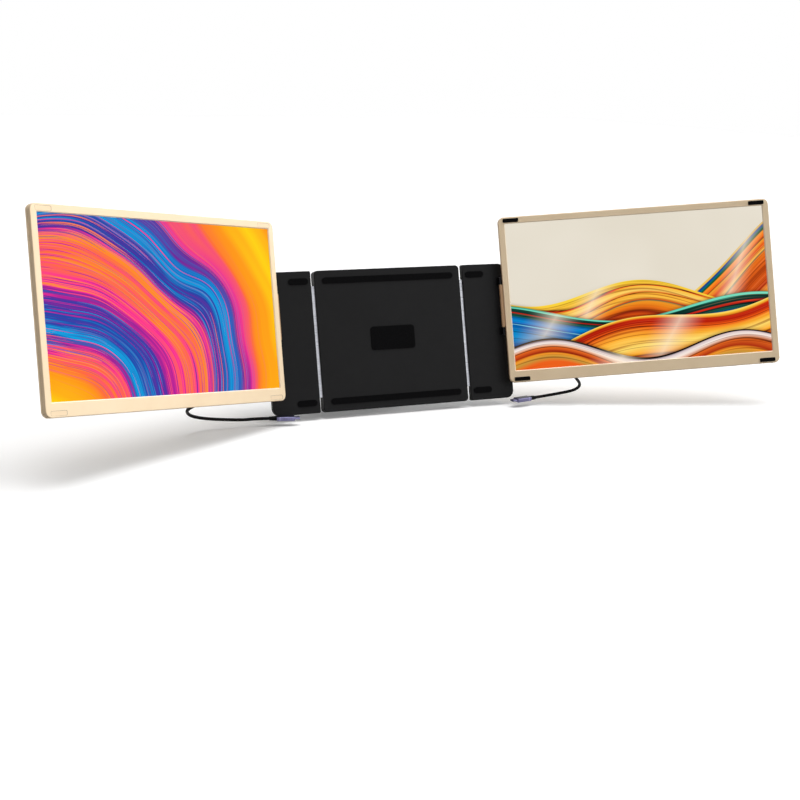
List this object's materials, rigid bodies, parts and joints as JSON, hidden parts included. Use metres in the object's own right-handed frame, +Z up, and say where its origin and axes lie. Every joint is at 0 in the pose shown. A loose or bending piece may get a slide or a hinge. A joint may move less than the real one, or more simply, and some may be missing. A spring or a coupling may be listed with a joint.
{
  "type": "laptop screen extender",
  "caption": "Telescoping bracket that sits behind a laptop's lid and carries a hinged monitor at each side, with synchronised arms, a folding kickstand and plug-in leads.",
  "frame": {"origin": "middle of the flat face that rests on the back of a laptop's lid, with the lid leaned back 14.7 degrees and the table 95.52 mm below", "axes": "+X to the user's right, +Y away from the user, +Z up"},
  "size_m": [0.9695, 0.2875, 0.2928],
  "materials": {
    "gold_casing": "champagne gold, fine matte anodised",
    "gold_rear": "champagne gold, matte anodised",
    "stand_black": "black, fine matte",
    "steel": "brushed",
    "black_steel": "black oxide",
    "magnet": "nickel plated",
    "gear_plastic": "natural moulded",
    "rubber_black": "matte",
    "pad_gold": "matte",
    "panel": "liquid crystal panel, semi-gloss",
    "board": "circuit board",
    "port_metal": "satin",
    "plug_metal": "satin grey",
    "lead_black": "matte",
    "friction_pad": "natural"
  },
  "bodies": {
    "core": {"core_front_plate": "stand_black", "core_rear_cover": "stand_black", "lid_pads": "rubber_black", "lid_magnets": "magnet", "pinion_axle": "steel", "kickstand_pin": "steel", "kickstand_discs": "friction_pad"},
    "pinion": {"sync_pinion": "gear_plastic"},
    "kickstand": {"kickstand_plate": "stand_black", "kickstand_foot": "rubber_black"},
    "left_arm": {"left_slide_plate": "steel", "left_rack": "gear_plastic", "left_arm_shell": "stand_black", "left_arm_cover": "stand_black", "left_hinge_leaf": "black_steel", "left_hinge_pin": "steel", "left_friction_discs": "friction_pad", "left_arm_pads": "rubber_black", "left_laptop_plug": "plug_metal", "left_laptop_boot": "lead_black"},
    "left_screen": {"left_bezel": "gold_casing", "left_display_panel": "panel", "left_screen_cover": "gold_rear", "left_driver_board": "board", "left_usb_ports": "port_metal", "left_hinge_knuckle": "gold_casing", "left_corner_pads": "pad_gold", "left_screen_plug": "plug_metal", "left_screen_boot": "lead_black", "left_lead": "lead_black"},
    "left_power_key_body": {"left_power_key": "gold_casing"},
    "left_menu_key_body": {"left_menu_key": "gold_casing"},
    "right_arm": {"right_slide_plate": "steel", "right_rack": "gear_plastic", "right_arm_shell": "stand_black", "right_arm_cover": "stand_black", "right_hinge_leaf": "black_steel", "right_hinge_pin": "steel", "right_friction_discs": "friction_pad", "right_arm_pads": "rubber_black", "right_laptop_plug": "plug_metal", "right_laptop_boot": "lead_black"},
    "right_screen": {"right_bezel": "gold_casing", "right_display_panel": "panel", "right_screen_cover": "gold_rear", "right_driver_board": "board", "right_usb_ports": "port_metal", "right_hinge_knuckle": "gold_casing", "right_corner_pads": "rubber_black", "right_screen_plug": "plug_metal", "right_screen_boot": "lead_black", "right_lead": "lead_black"},
    "right_power_key_body": {"right_power_key": "gold_casing"},
    "right_menu_key_body": {"right_menu_key": "gold_casing"}
  },
  "joints": [
    {"name": "left_arm_slide", "type": "slide", "parent": "core", "child": "left_arm", "axis": [-1, 0, 0], "range_m": [-0.004, 0.05]},
    {"name": "right_arm_slide", "type": "slide", "parent": "core", "child": "right_arm", "axis": [1, 0, 0], "range_m": [-0.004, 0.05]},
    {"name": "pinion_spin", "type": "hinge", "parent": "core", "child": "pinion", "pos_m": [0, 0.00716, -0.00188], "axis": [0, 0.9673, -0.2538], "range_deg": [-320, 26]},
    {"name": "kickstand_hinge", "type": "hinge", "parent": "core", "child": "kickstand", "pos_m": [0, 0.02062, 0.0132], "axis": [1, 0, 0], "range_deg": [-40, 20]},
    {"name": "left_screen_hinge", "type": "hinge", "parent": "left_arm", "child": "left_screen", "pos_m": [-0.1558, -0.007, 0.03518], "axis": [0, 0.2538, 0.9673], "range_deg": [-31, 94], "deforming": ["left_lead"]},
    {"name": "right_screen_hinge", "type": "hinge", "parent": "right_arm", "child": "right_screen", "pos_m": [0.1558, 0.00267, 0.03264], "axis": [0, -0.2538, -0.9673], "range_deg": [-19.5, 150.5], "deforming": ["right_lead"]},
    {"name": "left_power_press", "type": "slide", "parent": "left_screen", "child": "left_power_key_body", "axis": [0.8572, 0.4982, -0.1307], "range_m": [0, 0.0004], "stiffness_N_per_m": 500, "springref_m": -0.0008},
    {"name": "left_menu_press", "type": "slide", "parent": "left_screen", "child": "left_menu_key_body", "axis": [0.8572, 0.4982, -0.1307], "range_m": [0, 0.0004], "stiffness_N_per_m": 500, "springref_m": -0.0008},
    {"name": "right_power_press", "type": "slide", "parent": "right_screen", "child": "right_power_key_body", "axis": [-0.9426, 0.3229, -0.0847], "range_m": [0, 0.0004], "stiffness_N_per_m": 500, "springref_m": -0.0008},
    {"name": "right_menu_press", "type": "slide", "parent": "right_screen", "child": "right_menu_key_body", "axis": [-0.9426, 0.3229, -0.0847], "range_m": [0, 0.0004], "stiffness_N_per_m": 500, "springref_m": -0.0008}
  ],
  "couplings": [
    {"joint": "right_arm_slide", "follows": "left_arm_slide", "ratio": 1},
    {"joint": "pinion_spin", "follows": "left_arm_slide", "rad_per_m": -111.11}
  ]
}
